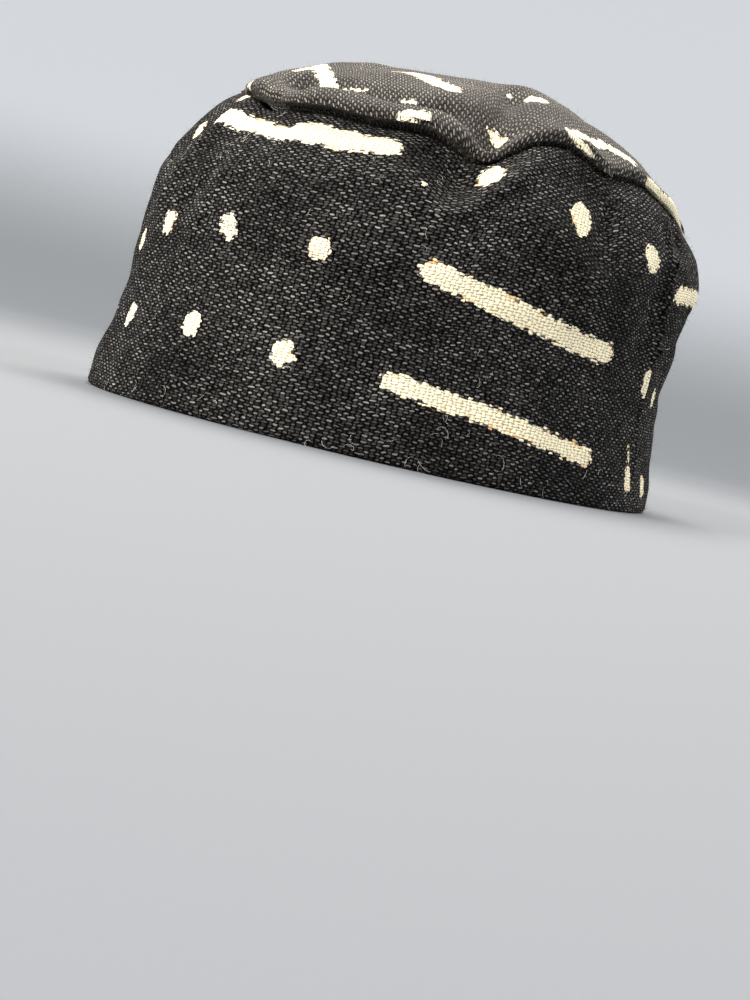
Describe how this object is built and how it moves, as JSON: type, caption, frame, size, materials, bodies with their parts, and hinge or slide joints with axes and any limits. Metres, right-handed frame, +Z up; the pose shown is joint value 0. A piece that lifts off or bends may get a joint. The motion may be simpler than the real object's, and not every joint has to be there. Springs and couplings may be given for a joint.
{
  "type": "kufi cap",
  "caption": "Brimless round cloth cap with a tall side band, a softly folded oval top and an open head hollow, dyed dark with pale strokes and dots.",
  "frame": {"origin": "middle of the flat rim, where the cap stands", "axes": "+Z up out of the crown, -Y towards the wearer's face, +X towards the wearer's left"},
  "size_m": [0.187, 0.224, 0.1291],
  "materials": {
    "band_cloth": "coarse hand-woven cotton dyed brown-black, with raw cream strokes and dots",
    "top_cloth": "the same coarse cotton, on the crown"
  },
  "bodies": {
    "root": {"side_band": "band_cloth", "top_panel": "top_cloth"}
  },
  "joints": []
}
